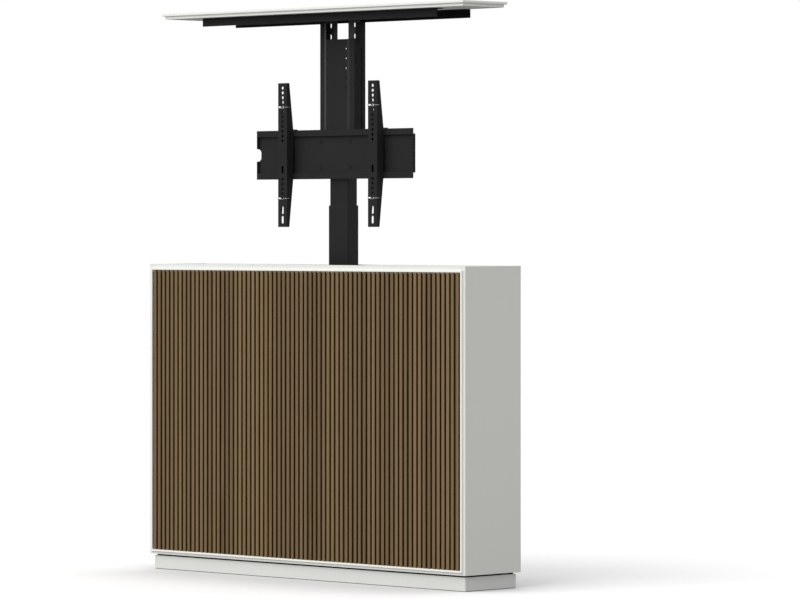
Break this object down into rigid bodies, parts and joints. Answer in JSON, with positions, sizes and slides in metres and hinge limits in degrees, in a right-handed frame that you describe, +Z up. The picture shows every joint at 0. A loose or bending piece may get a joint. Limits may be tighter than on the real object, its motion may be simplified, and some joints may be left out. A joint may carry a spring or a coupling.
{
  "type": "tv lift cabinet",
  "caption": "Slatted sideboard on a plinth with a motor lift that raises a slim lid and a television mount out of its top.",
  "frame": {"origin": "centre of the footprint on the floor, lift raised", "axes": "+X to the right along the front, +Y from the slatted front to the wall, +Z up"},
  "size_m": [1.4, 0.246, 1.764],
  "materials": {
    "white_lacquer": "satin white lacquer on board",
    "slat_wood": "matt brown wood veneer",
    "dark_board": "dark board behind the slats",
    "black_powder_coat": "fine matt powder coat",
    "column_coat": "matt powder coat",
    "zinc_steel": "zinc plated",
    "black_bolts": "black oxide",
    "spindle_steel": "rolled thread, oiled",
    "nut_plastic": "natural acetal",
    "motor_steel": "zinc plated can",
    "black_plastic": "matt",
    "felt_grey_rubber": "matt"
  },
  "bodies": {
    "cabinet": {"side_panel_left": "white_lacquer", "side_panel_right": "white_lacquer", "bottom_panel": "white_lacquer", "back_panel": "white_lacquer", "top_rail_front": "white_lacquer", "top_rail_rear": "white_lacquer", "top_rail_left": "white_lacquer", "top_rail_right": "white_lacquer", "plinth_front": "white_lacquer", "plinth_rear": "white_lacquer", "plinth_left": "white_lacquer", "plinth_right": "white_lacquer", "trim_left": "white_lacquer", "trim_right": "white_lacquer", "trim_bottom": "white_lacquer", "trim_top": "white_lacquer", "front_slats": "slat_wood", "front_backing_board": "dark_board", "lift_foot_plate": "black_powder_coat", "rear_bracket": "black_powder_coat", "lift_base_tube": "column_coat", "panel_screws": "zinc_steel", "foot_plate_bolts": "zinc_steel", "drive_motor": "motor_steel", "drive_gearbox": "black_plastic", "base_glide": "black_plastic", "leveling_feet": "black_plastic", "cable_grommet": "black_plastic", "control_box": "black_plastic", "power_inlet": "black_plastic", "lid_bumpers": "felt_grey_rubber"},
    "mid_stage": {"mid_tube": "column_coat", "mid_glide": "black_plastic", "mid_nut": "nut_plastic", "spindle_bearing": "spindle_steel"},
    "mast": {"mast_channel": "black_powder_coat", "head_bracket": "black_powder_coat", "inner_tube": "column_coat", "inner_nut": "nut_plastic", "mast_side_bolts": "black_bolts", "cross_plate": "black_powder_coat", "cross_plate_spacers": "black_powder_coat", "cross_plate_bolts": "black_bolts", "lid_top": "white_lacquer", "lid_liner": "white_lacquer", "lid_rail_front": "black_powder_coat", "lid_rail_rear": "black_powder_coat", "lid_rail_screws": "black_bolts", "lid_bracket": "black_powder_coat", "lid_bracket_bolts": "black_bolts"},
    "arm_left": {"arm_left": "black_powder_coat", "arm_clips_left": "zinc_steel", "arm_latch_left": "black_powder_coat", "arm_latch_screw_left": "black_bolts"},
    "arm_right": {"arm_right": "black_powder_coat", "arm_clips_right": "zinc_steel", "arm_latch_right": "black_powder_coat", "arm_latch_screw_right": "black_bolts"},
    "spindle_lower": {"lower_spindle": "spindle_steel"},
    "spindle_upper": {"upper_spindle": "spindle_steel"}
  },
  "joints": [
    {"name": "mid_lift", "type": "slide", "parent": "cabinet", "child": "mid_stage", "axis": [0, 0, 1], "range_m": [-0.397, 0]},
    {"name": "mast_lift", "type": "slide", "parent": "mid_stage", "child": "mast", "axis": [0, 0, 1], "range_m": [-0.397, 0]},
    {"name": "spindle_lower_turn", "type": "hinge", "parent": "cabinet", "child": "spindle_lower", "pos_m": [0, 0.0605, 0.3], "axis": [0, 0, 1], "range_deg": [-17870, 0]},
    {"name": "spindle_upper_turn", "type": "hinge", "parent": "mid_stage", "child": "spindle_upper", "pos_m": [0, 0.0605, 0.7], "axis": [0, 0, 1], "range_deg": [-17870, 0]},
    {"name": "arm_left_slide", "type": "slide", "parent": "mast", "child": "arm_left", "axis": [1, 0, 0], "range_m": [-0.1, 0.1]},
    {"name": "arm_right_slide", "type": "slide", "parent": "mast", "child": "arm_right", "axis": [1, 0, 0], "range_m": [-0.1, 0.1]}
  ],
  "couplings": [
    {"joint": "mast_lift", "follows": "mid_lift", "ratio": 1},
    {"joint": "spindle_lower_turn", "follows": "mid_lift", "rad_per_m": 785.4},
    {"joint": "spindle_upper_turn", "follows": "mid_lift", "rad_per_m": 785.4}
  ]
}
